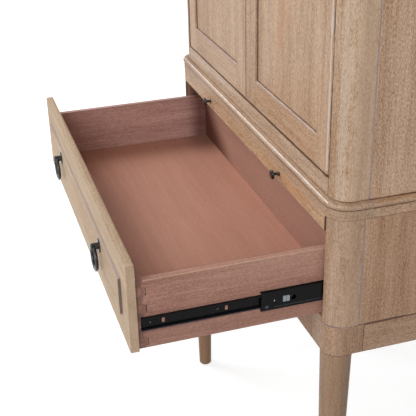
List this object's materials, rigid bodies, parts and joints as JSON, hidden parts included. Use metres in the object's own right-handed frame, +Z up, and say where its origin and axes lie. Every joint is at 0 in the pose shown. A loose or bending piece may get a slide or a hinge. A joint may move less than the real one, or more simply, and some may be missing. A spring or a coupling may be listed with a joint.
{
  "type": "bar cabinet",
  "caption": "Light oak bar cabinet on round tapered legs, with a beaded waist, two panelled doors, a slim pull-out tray and one drawer shown drawn out on black slides.",
  "frame": {"origin": "centre of the footprint's bounding box, drawer drawn out as pictured, on the floor", "axes": "+Z up, -Y towards the person who opens the drawer, +X to that person's right"},
  "size_m": [0.81, 0.732, 1.5],
  "materials": {
    "case_wood": "satin",
    "inner_wood": "satin",
    "black_steel": "satin",
    "bright_steel": "satin",
    "dark_bronze": "satin",
    "glide_plastic": "matte"
  },
  "bodies": {
    "case": {"base_block_front_right": "case_wood", "base_block_front_left": "case_wood", "base_block_back_right": "case_wood", "base_block_back_left": "case_wood", "leg_front_right": "case_wood", "leg_front_left": "case_wood", "leg_back_right": "case_wood", "leg_back_left": "case_wood", "leg_glides": "glide_plastic", "base_rail_front": "case_wood", "base_rail_back": "case_wood", "base_rail_right": "case_wood", "base_rail_left": "case_wood", "case_floor": "case_wood", "lower_post_right": "case_wood", "lower_post_left": "case_wood", "lower_side_right": "case_wood", "lower_side_left": "case_wood", "runner_board_right": "inner_wood", "runner_board_left": "inner_wood", "back_panel": "inner_wood", "waist_moulding_front": "case_wood", "waist_moulding_right": "case_wood", "waist_moulding_left": "case_wood", "waist_board": "inner_wood", "upper_post_right": "case_wood", "upper_post_left": "case_wood", "upper_side_right": "case_wood", "upper_side_left": "case_wood", "upper_floor": "inner_wood", "sill_rail": "case_wood", "head_rail": "case_wood", "cabinet_top": "case_wood", "shelf": "inner_wood", "shelf_pins": "bright_steel", "pivot_pins": "bright_steel", "slide_case_members": "black_steel"},
    "drawer": {"drawer_front": "case_wood", "drawer_subfront": "inner_wood", "drawer_side_right": "inner_wood", "drawer_side_left": "inner_wood", "drawer_back": "inner_wood", "drawer_bottom": "inner_wood", "slide_drawer_members": "black_steel", "ring_pull_posts": "dark_bronze"},
    "slide_middle": {"slide_middle_members": "black_steel", "slide_ball_cages": "bright_steel"},
    "tray": {"tray_front": "case_wood", "tray_board": "inner_wood", "tray_knobs": "dark_bronze"},
    "right_door": {"door_frame_right": "case_wood", "door_panel_right": "case_wood", "door_knob_right": "dark_bronze"},
    "left_door": {"door_frame_left": "case_wood", "door_panel_left": "case_wood", "door_knob_left": "dark_bronze"},
    "right_ring": {"ring_right": "dark_bronze"},
    "left_ring": {"ring_left": "dark_bronze"}
  },
  "joints": [
    {"name": "drawer_slide", "type": "slide", "parent": "case", "child": "drawer", "axis": [0, 1, 0], "range_m": [-0.0428, 0.3072]},
    {"name": "middle_slide", "type": "slide", "parent": "case", "child": "slide_middle", "axis": [0, 1, 0], "range_m": [-0.0172, 0.1229]},
    {"name": "tray_slide", "type": "slide", "parent": "case", "child": "tray", "axis": [0, -1, 0], "range_m": [0, 0.25]},
    {"name": "right_door_hinge", "type": "hinge", "parent": "case", "child": "right_door", "pos_m": [0.3485, -0.021, 1.144], "axis": [0, 0, 1], "range_deg": [0, 95]},
    {"name": "left_door_hinge", "type": "hinge", "parent": "case", "child": "left_door", "pos_m": [-0.3485, -0.021, 1.144], "axis": [0, 0, -1], "range_deg": [0, 95]},
    {"name": "right_ring_swing", "type": "hinge", "parent": "drawer", "child": "right_ring", "pos_m": [0.187, -0.3606, 0.7092], "axis": [-1, 0, 0], "range_deg": [-7, 185]},
    {"name": "left_ring_swing", "type": "hinge", "parent": "drawer", "child": "left_ring", "pos_m": [-0.187, -0.3606, 0.7092], "axis": [-1, 0, 0], "range_deg": [-7, 185]}
  ],
  "couplings": [
    {"joint": "middle_slide", "follows": "drawer_slide", "ratio": 0.4}
  ]
}
